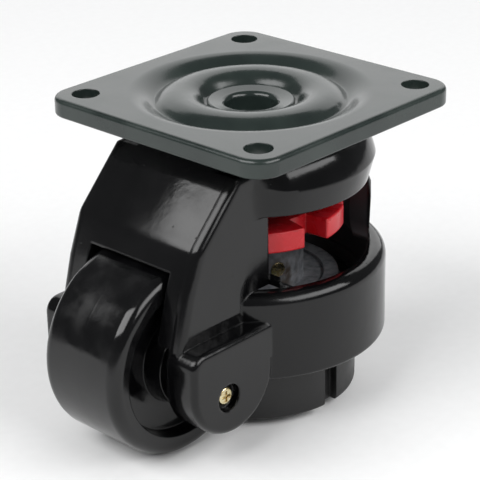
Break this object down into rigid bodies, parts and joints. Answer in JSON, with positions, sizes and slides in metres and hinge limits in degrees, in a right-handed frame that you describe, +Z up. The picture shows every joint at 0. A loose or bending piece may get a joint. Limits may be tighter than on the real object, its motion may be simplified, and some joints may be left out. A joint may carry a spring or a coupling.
{
  "type": "levelling castor",
  "caption": "Plate-mounted swivel castor with a small wheel at one side and a screw-down foot on the swivel axis, raised and lowered by a toothed hand dial in a side window.",
  "frame": {"origin": "centre of the plate's flat upper mounting face, on the swivel axis and at the centre of the four bolt holes", "axes": "+Z up out of the mounting face; the wheel stands towards -X; the wheel's axle lies along Y"},
  "size_m": [0.0989, 0.073, 0.0816],
  "materials": {
    "plate_ecoat": "dark green-grey electrophoretic coat, semi-gloss",
    "housing_paint": "gloss black powder coat over a die casting",
    "kingpin_steel": "coated with the plate, bore left smooth",
    "race_steel": "ground hardened steel, oiled",
    "ball_steel": "polished bearing balls, greased",
    "axle_steel": "bright drawn steel rod",
    "yellow_zinc": "yellow passivated zinc on steel",
    "wheel_nylon": "black moulded nylon, satin gloss",
    "dial_plastic": "red moulded plastic",
    "foot_casting": "raw die casting, dull grey",
    "pad_rubber": "near-black moulded rubber, matt",
    "screw_steel": "machined steel, lightly greased"
  },
  "bodies": {
    "mounting_plate": {"top_plate": "plate_ecoat", "kingpin": "kingpin_steel", "lower_cup": "race_steel"},
    "swivel_head": {"housing": "housing_paint", "upper_race": "race_steel", "head_race": "race_steel", "upper_balls": "ball_steel", "lower_balls": "ball_steel", "axle": "axle_steel", "axle_washers": "axle_steel", "bearing_spacer": "axle_steel", "bearing_inner_rings": "race_steel", "keeper_screws": "yellow_zinc"},
    "wheel_set": {"wheel": "wheel_nylon", "bearing_outer_rings": "race_steel", "bearing_shields": "race_steel"},
    "dial_set": {"dial": "dial_plastic", "dial_nut": "screw_steel", "thrust_washer": "screw_steel", "snap_ring": "screw_steel"},
    "foot_set": {"spindle": "screw_steel", "foot_core": "foot_casting", "foot_pad": "pad_rubber", "hub_screw": "yellow_zinc"}
  },
  "joints": [
    {"name": "swivel", "type": "hinge", "parent": "mounting_plate", "child": "swivel_head", "pos_m": [0, 0, 0], "axis": [0, 0, 1], "continuous": true},
    {"name": "wheel_spin", "type": "hinge", "parent": "swivel_head", "child": "wheel_set", "pos_m": [-0.0375, 0, -0.0567], "axis": [0, 1, 0], "continuous": true},
    {"name": "dial_turn", "type": "hinge", "parent": "swivel_head", "child": "dial_set", "pos_m": [0, 0, -0.032], "axis": [0, 0, 1], "range_deg": [0, 2880]},
    {"name": "foot_slide", "type": "slide", "parent": "swivel_head", "child": "foot_set", "axis": [0, 0, -1], "range_m": [0, 0.012]}
  ],
  "couplings": [
    {"joint": "dial_turn", "follows": "foot_slide", "rad_per_m": 4188.8}
  ]
}
